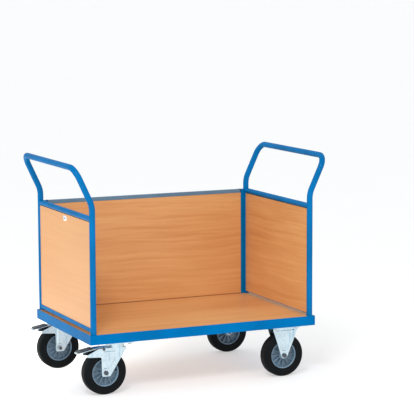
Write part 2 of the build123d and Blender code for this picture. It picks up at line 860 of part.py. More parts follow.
for side_name, side in sides.items():
    turn = Rot(0, 0, 0) if side < 0 else Rot(0, 0, 180)
    swivel = Pos(-caster_x, side * caster_y, 0)
    swivel_wheel = Pos(-caster_x - swivel_trail, side * caster_y, 0)
    fixed = Pos(caster_x, side * caster_y, 0)
    fixed_wheel = Pos(caster_x - fixed_axle_offset, side * caster_y, 0)
    left = f"left_{side_name}"
    right = f"right_{side_name}"

    save(swivel * swivel_fork(), f"{left}_fork")
    save(swivel * pedal_pin(), f"{left}_pedal_pin")
    save(swivel * brake_lever(), f"{left}_brake_lever")
    save(swivel * brake_tread(), f"{left}_brake_tread")
    save(swivel * brake_shoe(), f"{left}_brake_shoe")
    save(swivel_wheel * turn * axle_bolt(), f"{left}_axle_bolt")
    save(swivel_wheel * turn * axle_nut(), f"{left}_axle_nut")
    save(swivel_wheel * axle_sleeve(), f"{left}_axle_sleeve")
    save(swivel_wheel * wheel_bearing(), f"{left}_wheel_bearing")
    save(swivel_wheel * rim(), f"{left}_rim")
    save(swivel_wheel * tyre(), f"{left}_tyre")

    save(fixed * fixed_fork(), f"{right}_fork")
    save(fixed_wheel * wheel_bearing(), f"{right}_wheel_bearing")
    save(fixed_wheel * rim(), f"{right}_rim")
    save(fixed_wheel * tyre(), f"{right}_tyre")
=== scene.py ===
from math import cos, pi, radians, sin, sqrt, tan

import bpy
from mathutils import Matrix, Vector


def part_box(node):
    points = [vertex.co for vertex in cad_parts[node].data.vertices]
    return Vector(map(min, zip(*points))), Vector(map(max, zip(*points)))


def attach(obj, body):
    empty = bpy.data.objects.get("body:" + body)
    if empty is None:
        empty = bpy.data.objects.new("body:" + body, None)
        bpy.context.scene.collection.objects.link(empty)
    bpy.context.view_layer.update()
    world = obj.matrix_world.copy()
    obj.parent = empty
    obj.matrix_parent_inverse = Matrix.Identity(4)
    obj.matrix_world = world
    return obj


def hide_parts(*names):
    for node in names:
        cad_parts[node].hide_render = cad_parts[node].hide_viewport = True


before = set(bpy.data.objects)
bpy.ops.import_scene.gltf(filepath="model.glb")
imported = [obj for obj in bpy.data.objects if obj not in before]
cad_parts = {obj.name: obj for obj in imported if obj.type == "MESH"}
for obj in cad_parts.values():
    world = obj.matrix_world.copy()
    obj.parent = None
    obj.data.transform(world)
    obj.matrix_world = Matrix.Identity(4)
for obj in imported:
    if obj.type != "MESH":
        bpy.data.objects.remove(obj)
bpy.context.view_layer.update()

MM = 0.001

# ---------------------------------------------------------------- studio: floor, lights and camera
# A white light-table floor, brightest behind the left end, a soft light at the left that the outer
# end panel faces, another high at the front, and a long lens well above the handles.

# These node sockets are found by their number, because their names aren't unique.
object_coordinates = 3
mix_share, mix_first, mix_second, mix_colour = 0, 6, 7, 2
attribute_number = 2


class Value:
    """A number that varies over a surface; arithmetic on it adds the nodes that work it out."""

    def __init__(self, finish, socket):
        self.finish = finish
        self.socket = socket

    def math(self, operation, *values):
        return self.finish.node("Math", {"operation": operation}, dict(enumerate((self,) + values)))

    def __add__(self, other):
        return self.math("ADD", other)

    def __sub__(self, other):
        return self.math("SUBTRACT", other)

    def __rsub__(self, other):
        return self.math("MULTIPLY_ADD", -1.0, other)

    def __mul__(self, other):
        return self.math("MULTIPLY", other)

    __radd__ = __add__
    __rmul__ = __mul__

    def rise(self, low, high):
        """0 below low, 1 above high, and smooth between."""
        return self.finish.node("MapRange", {"interpolation_type": "SMOOTHSTEP"},
                                {"Value": self, "From Min": low, "From Max": high})


class Finish:
    """A surface finish, mixed on one material."""

    def __init__(self, name, **constants):
        self.material = bpy.data.materials.new(name)
        self.material.use_nodes = True
        self.tree = self.material.node_tree
        self.shader = self.tree.nodes["Principled BSDF"]
        self.place = self.node("TexCoord", output=object_coordinates)
        self.set(**constants)

    def feed(self, made, inputs):
        """Give a node's sockets their values or links."""
        for name, value in inputs.items():
            if isinstance(value, Value):
                self.tree.links.new(value.socket, made.inputs[name])
            else:
                made.inputs[name].default_value = value

    def node(self, kind, settings=None, inputs=None, output=0):
        """Add a shader node and return one of its outputs."""
        made = self.tree.nodes.new("ShaderNode" + kind)
        for name, value in (settings or {}).items():
            setattr(made, name, value)
        self.feed(made, inputs or {})
        return Value(self, made.outputs[output])

    def set(self, **inputs):
        """Set or link the shader's sockets; an underscore stands for a space."""
        self.feed(self.shader, {name.replace("_", " "): value for name, value in inputs.items()})

    def axes(self):
        """The place on the object as three numbers, in metres."""
        apart = self.node("SeparateXYZ", inputs={0: self.place}).socket.node
        return [Value(self, socket) for socket in apart.outputs]

    def vector(self, x, y, z):
        return self.node("CombineXYZ", inputs={0: x, 1: y, 2: z})

    def noise(self, place, scale, detail=3.0, roughness=0.5):
        return self.node("TexNoise", inputs={"Vector": place, "Scale": scale, "Detail": detail,
                                             "Roughness": roughness})

    def mix(self, share, first, second):
        """A colour that goes from the first to the second as the share goes from 0 to 1."""
        return self.node("Mix", {"data_type": "RGBA"},
                         {mix_share: share, mix_first: first, mix_second: second}, output=mix_colour)

    def relief(self, height, depth, strength=1.0):
        """Bumps too fine to model, up to a depth in metres."""
        bump = self.node("Bump", inputs={"Height": height, "Distance": depth, "Strength": strength})
        self.set(Normal=bump)


def shade(red, green, blue):
    """A colour from its three screen values, 0 to 255."""
    def linear(value):
        share = value / 255
        return share / 12.92 if share <= 0.04045 else ((share + 0.055) / 1.055) ** 2.4
    return (linear(red), linear(green), linear(blue), 1.0)


def grey(level):
    """An even grey from its brightness, 0 to 1."""
    return (level, level, level, 1.0)


def clear_selection():
    """Leave edit mode with nothing selected."""
    if bpy.context.mode != "OBJECT":
        bpy.ops.object.mode_set(mode="OBJECT")
    bpy.ops.object.select_all(action="DESELECT")


def softbox(name, place, target, width, height, power, colour):
    """A rectangular light that faces a point."""
    lamp = bpy.data.lights.new(name, "AREA")
    lamp.shape = "RECTANGLE"
    lamp.size = width
    lamp.size_y = height
    lamp.energy = power
    lamp.color = colour
    light = bpy.data.objects.new(name, lamp)
    bpy.context.scene.collection.objects.link(light)
    light.location = place
    light.rotation_euler = (Vector(target) - Vector(place)).to_track_quat("-Z", "Y").to_euler()


floor_width = 400.0
glow_x, glow_y = -1.1, 1.3
glow_core, glow_edge = 0.4, 1.7
glow_colour = (0.95, 0.93, 0.86, 1.0)
far_glow_colour = (0.21, 0.209, 0.207, 1.0)
clear_selection()
bpy.ops.mesh.primitive_plane_add(size=floor_width, location=(0, 0, 0))
floor = bpy.context.object
floor.name = "floor"
paper = Finish("white_paper", Roughness=0.9, Specular_IOR_Level=0.1, Emission_Strength=2.0)
paper.set(Base_Color=paper.mix(paper.noise(paper.place, 3.0), grey(0.64), grey(0.67)))
floor_x, floor_y = paper.axes()[:2]
glow_east, glow_north = floor_x - glow_x, floor_y - glow_y
from_glow = (glow_east * glow_east + glow_north * glow_north).math("SQRT")
paper.set(Emission_Color=paper.mix(from_glow.rise(glow_core, glow_edge), glow_colour, far_glow_colour))
floor.data.materials.append(paper.material)

world = bpy.data.worlds.new("studio_walls")
world.use_nodes = True
walls = world.node_tree.nodes["Background"]
walls.inputs["Color"].default_value = (0.95, 0.98, 1.0, 1.0)
walls.inputs["Strength"].default_value = 0.85
bpy.context.scene.world = world
bpy.context.scene.view_settings.view_transform = "Standard"

trolley_middle = (0.0, 0.0, 0.45)
softbox("side_softbox", (-4.2, -2.0, 1.5), trolley_middle, 0.9, 0.9, 9.0, (1.0, 0.97, 0.92))
softbox("high_softbox", (-2.2, -3.4, 3.8), trolley_middle, 1.3, 1.3, 98.0, (1.0, 0.99, 0.97))

camera_heading, camera_drop, camera_roll = 24.26, 7.35, 0.23
camera_data = bpy.data.cameras.new("camera")
camera_data.lens = 160.2
camera_data.sensor_width = 36.0
camera_data.clip_end = 500.0
camera = bpy.data.objects.new("camera", camera_data)
bpy.context.scene.collection.objects.link(camera)
camera_turn = Matrix.Rotation(radians(-camera_heading), 3, "Z")
camera_turn = camera_turn @ Matrix.Rotation(radians(90 - camera_drop), 3, "X")
camera_turn = camera_turn @ Matrix.Rotation(radians(-camera_roll), 3, "Z")
camera.rotation_euler = camera_turn.to_euler()
camera.location = (-3.350, -7.810, 1.8715)
bpy.context.scene.camera = camera

# ---------------------------------------------------------------- base frame
# Four pressed steel rails round the deck, two wide bearers that carry the casters, a narrow one
# between them and four corner plates, all welded together and powder coated blue.

orange_peel = 0.1 * MM
real_edge_angle = radians(40)


def powder_coat(name, colour, scuff_colour, gloss):
    """Sprayed and baked paint: a fine orange peel, slightly uneven depth and a few dull scuffs."""
    finish = Finish(name, Specular_IOR_Level=0.008, Specular_Tint=colour, Coat_Roughness=0.06)
    depth = finish.noise(finish.place, 7.0, 4.0)
    scuffs = finish.noise(finish.place, 60.0, 8.0, 0.7).rise(0.63, 0.72)
    patches = finish.noise(finish.place, 5.0, 2.0).rise(0.5, 0.7)
    darker = tuple(channel * 0.82 for channel in colour[:3]) + (1.0,)
    sprayed = finish.mix(depth.rise(0.3, 0.7), darker, colour)
    finish.set(Base_Color=finish.mix(scuffs * patches * 0.35, sprayed, scuff_colour))
    finish.set(Roughness=0.32 + 0.12 * depth + 0.2 * scuffs * patches)
    finish.set(Coat_Weight=gloss * (1.0 - 0.5 * scuffs))
    finish.relief(finish.noise(finish.place, 700.0, 2.0), orange_peel, 0.35)
    return finish.material


def edit(piece):
    """Open one piece in edit mode with all of it selected."""
    clear_selection()
    piece.select_set(True)
    bpy.context.view_layer.objects.active = piece
    bpy.ops.object.mode_set(mode="EDIT")
    bpy.ops.mesh.select_all(action="SELECT")


def select_edges(piece, wanted):
    """In edit mode, select the edges that a test on their two ends picks."""
    bpy.ops.object.mode_set(mode="OBJECT")
    points = piece.data.vertices
    for part in (piece.data.polygons, piece.data.edges, points):
        part.foreach_set("select", [False] * len(part))
    for line in piece.data.edges:
        line.select = wanted(points[line.vertices[0]].co, points[line.vertices[1]].co)
    bpy.ops.object.mode_set(mode="EDIT")
    bpy.ops.mesh.select_mode(type="EDGE")


def use_modifier(piece, kind, **settings):
    """Add a modifier with its settings and apply it."""
    clear_selection()
    piece.select_set(True)
    bpy.context.view_layer.objects.active = piece
    modifier = piece.modifiers.new(kind.lower(), kind)
    for name, value in settings.items():
        setattr(modifier, name, value)
    bpy.ops.object.modifier_apply(modifier=modifier.name)


def smooth(piece, angle=35):
    """Shade smooth except over real edges."""
    clear_selection()
    piece.select_set(True)
    bpy.context.view_layer.objects.active = piece
    bpy.ops.object.shade_smooth_by_angle(angle=radians(angle))


def merged_copy(name, node):
    """A copy of a CAD node with its loose triangles merged into whole faces."""
    piece = bpy.data.objects.new(name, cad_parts[node].data.copy())
    bpy.context.scene.collection.objects.link(piece)
    piece.data.materials.clear()
    edit(piece)
    bpy.ops.mesh.customdata_custom_splitnormals_clear()
    bpy.ops.mesh.remove_doubles(threshold=0.01 * MM)
    bpy.ops.mesh.dissolve_limited(angle_limit=radians(0.5))
    clear_selection()
    return piece


def roll_edges(piece, edge, segments=2):
    """Round off the piece's sharp edges."""
    use_modifier(piece, "BEVEL", width=edge, segments=segments, limit_method="ANGLE",
                 angle_limit=real_edge_angle)
    smooth(piece)
    use_modifier(piece, "WEIGHTED_NORMAL", keep_sharp=True)


def pressed_copy(name, node, edge, segments=2):
    """A copy of a CAD node with its sharp edges rolled over."""
    piece = merged_copy(name, node)
    roll_edges(piece, edge, segments)
    return piece


def fit(piece, body, finish, slot, *nodes):
    """Give a finished piece its surface, the body it moves with and the CAD nodes it stands for."""
    piece.data.materials.clear()
    piece.data.materials.append(finish)
    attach(piece, body)
    if nodes:
        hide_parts(*nodes)


blue_coat = powder_coat("blue_powder_coat", shade(0, 115, 182), shade(8, 128, 192), 0.04)
tube_coat = powder_coat("glossy_blue_powder_coat", shade(0, 113, 178), shade(8, 128, 192), 0.14)
rail_edge, bearer_edge = 1.1 * MM, 0.9 * MM
for edge, nodes in ((rail_edge, ("front_rail", "rear_rail", "left_end_rail", "right_end_rail")),
                    (bearer_edge, ("caster_bearers", "centre_bearer", "corner_plates"))):
    for node in nodes:
        fit(pressed_copy(node + "_steel", node, edge), "trolley_frame", blue_coat, "blue_powder_coat", node)

# ---------------------------------------------------------------- deck board
# A fifteen millimetre board faced with beech laminate, let in flush between the rails and held
# from below by pan head screws through the ledges.

board_edge = 0.5 * MM
fibre_relief = 0.04 * MM


def beech(name, order, figure=0.75, foot=None):
    """Printed beech with its grain along the first axis of the order, and flat on the third.

    It has wavy bands, fibres and short dark flecks, and may have painted shade just above a foot height.
    """
    finish = Finish(name, Specular_IOR_Level=0.5)
    axes = dict(zip("xyz", finish.axes()))
    along, across, depth = (axes[letter] for letter in order)
    bow = finish.noise(finish.vector(along * 1.6, across * 2.4, depth), 1.0, 2.0)
    wavy = across + 0.07 * bow + 0.012 * along
    bands = finish.noise(finish.vector(along * 1.5, wavy * 58.0, depth), 1.0, 4.0, 0.6)
    fibres = finish.noise(finish.vector(along * 6.0, wavy * 230.0, depth), 1.0, 3.0, 0.6)
    flecks = finish.noise(finish.vector(along * 60.0, wavy * 560.0, depth), 1.0, 2.0).rise(0.62, 0.72)
    cloud = finish.noise(finish.vector(along * 1.4, across * 3.2, depth), 1.0, 2.0)
    tone = 0.42 * bands + 0.2 * fibres + 0.38 * cloud
    light, middle, dark = shade(232, 178, 119), shade(219, 158, 99), shade(205, 138, 80)
    printed = finish.mix(tone.rise(0.38, 0.52), dark, middle)
    printed = finish.mix(tone.rise(0.48, 0.66), printed, light)
    printed = finish.mix(flecks * 0.3, printed, shade(160, 98, 58))
    printed = finish.mix(figure + 0.1 * (fibres - 0.5), middle, printed)
    # Painted shade: a darker strip just above the foot, where the board meets the deck.
    if foot is not None:
        printed = finish.mix(axes["z"].rise(foot + 2 * MM, foot + 6 * MM), shade(150, 92, 54), printed)
    finish.set(Base_Color=printed)
    finish.set(Roughness=0.38 + 0.14 * fibres + 0.1 * flecks)
    finish.relief(fibres - 0.6 * flecks, fibre_relief, 0.5)
    return finish.material


deck_beech = beech("beech_along_the_deck", "xyz")
fit(pressed_copy("deck_top_board", "deck_board", board_edge), "trolley_frame", deck_beech,
    "beech_laminate", "deck_board")

# ---------------------------------------------------------------- end frames
# Each end is one steel tube: two posts, kicked outwards above the panel, that meet in a push bar.
# A second tube with coped ends is welded between the posts just above the panel.


def joined(name, *pieces):
    """Several meshes made one piece."""
    clear_selection()
    for piece in pieces:
        piece.select_set(True)
    bpy.context.view_layer.objects.active = pieces[0]
    if len(pieces) > 1:
        bpy.ops.object.join()
    pieces[0].name = name
    return pieces[0]


def apply_place():
    """Put the active piece's place and turn into its mesh."""
    bpy.ops.object.transform_apply(location=True, rotation=True, scale=True)
    return bpy.context.object


def ring_of_points(radius, place, direction, count):
    """An open ring across a direction."""
    clear_selection()
    turn = Vector(direction).to_track_quat("Z", "Y").to_euler()
    bpy.ops.mesh.primitive_circle_add(vertices=count, radius=radius, fill_type="NOTHING", location=place,
                                      rotation=turn)
    return apply_place()


def bent_tube(name, corners, bend_radii, radius, bend_steps=12, count=40):
    """A tube formed as on a bender: a ring is drawn along each straight and swung round each bend."""
    ahead = (corners[1] - corners[0]).normalized()
    tube = ring_of_points(radius, corners[0], ahead, count)
    tube.name = name
    edit(tube)
    bpy.ops.mesh.edge_face_add()
    here = corners[0]
    for corner, following, bend in zip(corners[1:], corners[2:], bend_radii):
        onward = (following - corner).normalized()
        turn = ahead.angle(onward)
        bend_start = corner - ahead * bend * tan(turn / 2)
        bpy.ops.mesh.extrude_region_move(TRANSFORM_OT_translate={"value": bend_start - here})
        inward = (onward - ahead * onward.dot(ahead)).normalized()
        bpy.ops.mesh.spin(steps=bend_steps, angle=turn, center=bend_start + inward * bend,
                          axis=onward.cross(ahead).normalized())
        here = corner + onward * bend * tan(turn / 2)
        ahead = onward
    bpy.ops.mesh.extrude_region_move(TRANSFORM_OT_translate={"value": corners[-1] - here})
    bpy.ops.mesh.select_all(action="SELECT")
    bpy.ops.mesh.normals_make_consistent(inside=False)
    smooth(tube)
    return tube


frame_low, frame_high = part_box("right_handle_frame")
tube_radius = 13.5 * MM
post_x = frame_low.x + tube_radius
post_y = frame_high.y - tube_radius
bar_x = frame_high.x - tube_radius
bar_z = frame_high.z - tube_radius
kick_lean = radians(25)
kick_z = bar_z - (bar_x - post_x) / tan(kick_lean)
kick_bend, corner_bend = 110 * MM, 55 * MM
bends = [kick_bend, corner_bend, corner_bend, kick_bend]
for side, end in (("left", -1), ("right", 1)):
    path = [Vector((end * post_x, -post_y, frame_low.z)), Vector((end * post_x, -post_y, kick_z)),
            Vector((end * bar_x, -post_y, bar_z)), Vector((end * bar_x, post_y, bar_z)),
            Vector((end * post_x, post_y, kick_z)), Vector((end * post_x, post_y, frame_low.z))]
    handle = bent_tube(side + "_push_handle", path, bends, tube_radius)
    fit(handle, "trolley_frame", tube_coat, "blue_powder_coat", side + "_handle_frame")

crossbar_low, crossbar_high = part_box("crossbars")
crossbar_radius = (crossbar_high.z - crossbar_low.z) / 2
crossbar_z = (crossbar_high.z + crossbar_low.z) / 2
crossbar_half = post_y - tube_radius / 2
weld_size = 1.7 * MM
weld_stand = 0.4 * MM
weld_ripples = 30
weld_steps = 10
bars, welds = [], []
for end in (-1, 1):
    clear_selection()
    bpy.ops.mesh.primitive_cylinder_add(vertices=40, radius=crossbar_radius, depth=2 * crossbar_half,
                                        location=(end * post_x, 0, crossbar_z), rotation=(pi / 2, 0, 0))
    bars.append(apply_place())
    for side in (-1, 1):
        clear_selection()
        bpy.ops.mesh.primitive_torus_add(major_radius=crossbar_radius + weld_stand,
                                         minor_radius=weld_size, major_segments=4 * weld_ripples,
                                         minor_segments=weld_steps, rotation=(pi / 2, 0, 0))
        weld = apply_place()
        for number, point in enumerate(weld.data.vertices):
            ripple = 1 + 0.012 * sin(pi * (number // weld_steps) / 2)
            across = min(abs(point.co.x), 0.98 * tube_radius)
            saddle = post_y - sqrt(tube_radius ** 2 - across ** 2)
            point.co = Vector((point.co.x * ripple + end * post_x, side * saddle + point.co.y,
                               point.co.z * ripple + crossbar_z))
        welds.append(weld)
crossbar_tubes = joined("crossbar_tubes", *bars)
smooth(crossbar_tubes)
fit(crossbar_tubes, "trolley_frame", tube_coat, "blue_powder_coat", "crossbars")
crossbar_welds = joined("crossbar_welds", *welds)
smooth(crossbar_welds, 60)
fit(crossbar_welds, "trolley_frame", tube_coat, "blue_powder_coat")

# ---------------------------------------------------------------- end panels
# Each end panel is the same faced board as the deck, grain level, standing on a steel angle that
# clears the deck.  The left one is plainer and carries a small blank badge under the crossbar.

sheet_edge = 0.6 * MM
fit(pressed_copy("end_panel_angles", "end_angles", sheet_edge), "trolley_frame", blue_coat,
    "blue_powder_coat", "end_angles")
for side, figure in (("left", 0.3), ("right", 0.85)):
    panel_beech = beech(f"beech_on_the_{side}_end_panel", "yzx", figure)
    fit(pressed_copy(side + "_panel_board", side + "_end_panel", board_edge), "trolley_frame",
        panel_beech, "beech_laminate", side + "_end_panel")


def turned(name, profile, steps=64, closed=False):
    """A piece turned on the Y axis from its (radius, along) outline, spun right round and sealed."""
    count = len(profile)
    lines = [(point, point + 1) for point in range(count - 1)] + ([(count - 1, 0)] if closed else [])
    mesh = bpy.data.meshes.new(name)
    mesh.from_pydata([(radius, along, 0) for radius, along in profile], lines, [])
    piece = bpy.data.objects.new(name, mesh)
    bpy.context.scene.collection.objects.link(piece)
    edit(piece)
    bpy.ops.mesh.spin(steps=steps, angle=2 * pi, center=(0, 0, 0), axis=(0, 1, 0))
    bpy.ops.mesh.select_all(action="SELECT")
    bpy.ops.mesh.remove_doubles(threshold=0.01 * MM)
    bpy.ops.mesh.normals_make_consistent(inside=False)
    smooth(piece)
    return piece


def placed(source, name, move, turn=Matrix()):
    """A copy with a mesh of its own, turned and then moved to its place."""
    piece = bpy.data.objects.new(name, source.data.copy())
    bpy.context.scene.collection.objects.link(piece)
    piece.data.transform(Matrix.Translation(move) @ turn)
    return piece


def discard(*pieces):
    """Take shapes out of the scene that were only needed to make others."""
    for piece in pieces:
        bpy.data.objects.remove(piece)


badge_low, badge_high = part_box("maker_badge")
badge_middle = (badge_low + badge_high) / 2
badge_border = 1.6 * MM
badge_dish = 0.3 * MM
badge_face = badge_low.x + 0.1 * MM
badge = merged_copy("blank_badge", "maker_badge")
select_edges(badge, lambda a, b: a.x < badge_face and b.x < badge_face)
bpy.ops.mesh.select_mode(type="FACE")
bpy.ops.mesh.inset(thickness=badge_border, depth=0)
bpy.ops.mesh.inset(thickness=badge_dish, depth=-badge_dish)
smooth(badge)
enamel = Finish("badge_enamel", Roughness=0.3, Coat_Weight=0.6)
badge_y, badge_z = enamel.axes()[1:]
oval_straight, oval_radius = 7 * MM, 4.2 * MM
past_end = ((badge_y - badge_middle.y).math("ABSOLUTE") - oval_straight).math("MAXIMUM", 0.0)
off_line = badge_z - badge_middle.z
from_oval = (past_end * past_end + off_line * off_line).math("SQRT")
off_oval = from_oval.rise(oval_radius - 0.6 * MM, oval_radius)
enamel_tone = enamel.noise(enamel.place, 400.0, 2.0)
enamel.set(Base_Color=enamel.mix(off_oval, shade(70, 130, 190), shade(240, 240, 238)))
enamel.set(Roughness=0.22 + 0.15 * enamel_tone)
enamel.relief(enamel_tone, 0.03 * MM)
fit(badge, "trolley_frame", enamel.material, "zinc_fastener", "maker_badge")

# ---------------------------------------------------------------- rear wall
# A board of the same beech stands on the deck between two upright channels.  A grey U profile
# covers its top edge and ends in black plastic stops against the channels.

moulded_grain = 0.06 * MM


def coated_plastic(name, colour, roughness, grain, gloss=0.0):
    """Moulded plastic: an even colour with a fine spark-eroded grain and slight cloudiness."""
    finish = Finish(name, Specular_IOR_Level=0.45, Coat_Weight=gloss)
    cloud = finish.noise(finish.place, 24.0, 3.0)
    paler = tuple(min(1.0, channel * 1.35 + 0.004) for channel in colour[:3]) + (1.0,)
    finish.set(Base_Color=finish.mix(cloud.rise(0.3, 0.75), colour, paler))
    skin = finish.noise(finish.place, grain, 2.0)
    finish.set(Roughness=roughness + 0.18 * (skin - 0.5) + 0.08 * cloud)
    finish.relief(skin, moulded_grain, 0.6)
    return finish.material


# The rear wall board gets painted shade along its foot, where it stands on the deck.
wall_beech = beech("beech_along_the_rear_wall", "xzy", foot=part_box("rear_wall_panel")[0].z)
cap_grey = powder_coat("grey_edge_coat", shade(104, 134, 158), shade(165, 182, 195), 0.1)
black_plastic = coated_plastic("black_plastic", shade(30, 31, 33), 0.45, 1500.0)
channel_edge, stop_edge = 0.5 * MM, 0.6 * MM
for name, node, edge, finish, slot in (
        ("rear_wall_board", "rear_wall_panel", board_edge, wall_beech, "beech_laminate"),
        ("rear_wall_channels", "wall_channels", channel_edge, blue_coat, "blue_powder_coat"),
        ("rear_wall_cap", "wall_cap", sheet_edge, cap_grey, "grey_edge_profile"),
        ("cap_end_stops", "cap_end_plugs", stop_edge, black_plastic, "black_plastic")):
    fit(pressed_copy(name, node, edge), "trolley_frame", finish, slot, node)

# ---------------------------------------------------------------- caster forks and swivel heads
# Pressed sheet steel, bright galvanised.  Each left fork turns on a ring of balls under a top
# plate, held by a riveted kingpin; the right forks are fixed and their legs taper to the axle.

crystal_relief = 0.02 * MM


def zinc(name, colour, roughness, spangle_size, streaks=0.0):
    """Zinc on steel: metallic, with crystal spangles, soft clouds and upright drawing streaks."""
    finish = Finish(name, Metallic=1.0)
    crystals = finish.node("TexVoronoi", inputs={"Vector": finish.place, "Scale": 1 / spangle_size},
                           output=1)
    crystal_tone = finish.node("SeparateColor", inputs={0: crystals})
    cloud = finish.noise(finish.place, 28.0, 4.0)
    x, y, z = finish.axes()
    drawn = finish.noise(finish.vector(x * 150.0, y * 150.0, z * 7.0), 1.0, 3.0)
    lines = finish.noise(finish.vector(x * 900.0, y * 900.0, z * 40.0), 1.0, 2.0)
    tone = 0.3 * crystal_tone + 0.7 * cloud
    duller = tuple(channel * 0.8 for channel in colour[:3]) + (1.0,)
    streaked = tuple(channel * share for channel, share in zip(colour, (0.5, 0.66, 0.78))) + (1.0,)
    clouded = finish.mix(tone.rise(0.25, 0.7), duller, colour)
    finish.set(Base_Color=finish.mix(streaks * drawn.rise(0.55, 0.7), clouded, streaked))
    finish.set(Roughness=roughness + 0.1 * cloud + 0.05 * crystal_tone + 0.08 * (lines - 0.5))
    finish.relief(0.6 * lines + 0.4 * crystal_tone, crystal_relief, 0.5)
    return finish.material


fork_zinc = zinc("bright_zinc", shade(212, 230, 239), 0.18, 5 * MM, 0.8)
bolt_zinc = zinc("passivated_zinc", shade(196, 200, 204), 0.26, 2 * MM)
# The axle bolts and hinge pins are given a dark grey steel, darker than the zinc round them.
dark_steel = zinc("dark_grey_steel", shade(92, 98, 104), 0.3, 2 * MM)

leg_outside = 31 * MM
crown_top = 212 * MM
fold_radius = 2.4 * MM
fork_edge, plate_edge, kingpin_edge = 0.7 * MM, 0.9 * MM, 0.2 * MM


def folded_fork(name, node):
    """A fork copy whose legs are folded, not square, where they leave the crown."""
    piece = merged_copy(name, node)
    middle = (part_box(node)[0].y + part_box(node)[1].y) / 2
    edit(piece)
    select_edges(piece, lambda a, b: all(abs(end.z - crown_top) < 0.1 * MM
                                         and abs(abs(end.y - middle) - leg_outside) < 0.1 * MM
                                         for end in (a, b)))
    bpy.ops.mesh.bevel(offset=fold_radius, segments=4, affect="EDGES")
    clear_selection()
    roll_edges(piece, fork_edge)
    return piece


for side in ("front", "rear"):
    fit(folded_fork(f"left_{side}_swivel_fork", f"left_{side}_fork"), f"left_{side}_swivel", fork_zinc,
        "bright_zinc_fork", f"left_{side}_fork")
    fit(pressed_copy(f"right_{side}_fixed_fork", f"right_{side}_fork", plate_edge), "trolley_frame",
        fork_zinc, "bright_zinc_fork", f"right_{side}_fork")
fit(pressed_copy("swivel_plates", "swivel_top_plates", plate_edge), "trolley_frame", fork_zinc,
    "bright_zinc_fork", "swivel_top_plates")
fit(pressed_copy("riveted_kingpins", "kingpins", kingpin_edge), "trolley_frame", bolt_zinc,
    "zinc_fastener", "kingpins")
ball_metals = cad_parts["swivel_balls"].data.materials
ball_metals.clear()
ball_metals.append(bolt_zinc)

# ---------------------------------------------------------------- wheels
# A solid black rubber tyre on a ribbed grey-blue plastic centre.  A nylon roller cage is pressed in
# the hub and runs on a steel sleeve clamped between the fork's legs.

tyre_low, tyre_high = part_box("left_front_tyre")
wheel_radius = (tyre_high.z - tyre_low.z) / 2
tyre_half = (tyre_high.y - tyre_low.y) / 2
rim_low, rim_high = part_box("left_front_rim")
seat_radius = (rim_high.z - rim_low.z) / 2
hub_half = (rim_high.y - rim_low.y) / 2
rim_half = tyre_half - 2.5 * MM


def arc(radius, along, size, first, last, steps=5):
    """Outline points on an arc about (radius, along), between two angles in degrees."""
    turns = [radians(first + (last - first) * step / steps) for step in range(steps + 1)]
    return [(radius + size * cos(turn), along + size * sin(turn)) for turn in turns]


def both_sides(outline):
    """An outline's points and then their mirror images, back to the start."""
    return outline + [(radius, -along) for radius, along in reversed(outline)]


groove_depth = 0.7 * MM
groove_places = (0.52, 0.26)
side_dish = 0.8 * MM
shoulder = 10 * MM
tyre_outline = [(seat_radius + 0.1 * MM, rim_half), (seat_radius + 1.2 * MM, tyre_half - 0.6 * MM)]
tyre_outline += arc(seat_radius + 3 * MM, tyre_half - 1.0 * MM, 1.0 * MM, 150, 90, 3)
tyre_outline += [(seat_radius + 6.5 * MM, tyre_half), (seat_radius + 7.5 * MM, tyre_half - side_dish),
                 (wheel_radius - 16 * MM, tyre_half - side_dish), (wheel_radius - 15 * MM, tyre_half)]
tyre_outline += arc(wheel_radius - shoulder, tyre_half - shoulder, shoulder, 90, 12, 8)
groove_floor = wheel_radius - groove_depth
for share in groove_places:
    along = tyre_half * share
    tyre_outline += [(wheel_radius - 0.15 * MM, along + 0.8 * MM), (groove_floor, along + 0.35 * MM),
                     (groove_floor, along - 0.35 * MM), (wheel_radius - 0.1 * MM, along - 0.8 * MM)]
tyre_outline += [(wheel_radius, 0.3 * MM)]
tyre_shape = turned("tyre_shape", both_sides(tyre_outline), 96, closed=True)
tread = tyre_shape.data.attributes.new("tread", "FLOAT", "POINT")
for number, point in enumerate(tyre_shape.data.vertices):
    below_tread = wheel_radius - sqrt(point.co.x ** 2 + point.co.z ** 2)
    tread.data[number].value = min(1.0, max(0.0, (4 * MM - below_tread) / (3 * MM)))

barrel_radius = seat_radius - 4.5 * MM
web_half = 2 * MM
web_fillet = 3 * MM
hub_radius = 19 * MM
bore_radius = 14 * MM
rim_outline = [(seat_radius, 0), (seat_radius, rim_half - 0.6 * MM), (seat_radius - 0.6 * MM, rim_half)]
rim_outline += [(barrel_radius + 0.8 * MM, rim_half), (barrel_radius, rim_half - 0.8 * MM)]
rim_outline += [(barrel_radius - 1.2 * MM, web_half + 4 * MM)]
rim_outline += arc(barrel_radius - 4.2 * MM, web_half + web_fillet, web_fillet, 0, -90, 4)
rim_outline += arc(hub_radius + 3.5 * MM, web_half + web_fillet, web_fillet, -90, -180, 4)
rim_outline += [(hub_radius, hub_half - 0.8 * MM), (hub_radius - 0.8 * MM, hub_half),
                (bore_radius, hub_half), (bore_radius, 0)]
rim_shape = turned("rim_shape", both_sides(rim_outline), 96, closed=True)

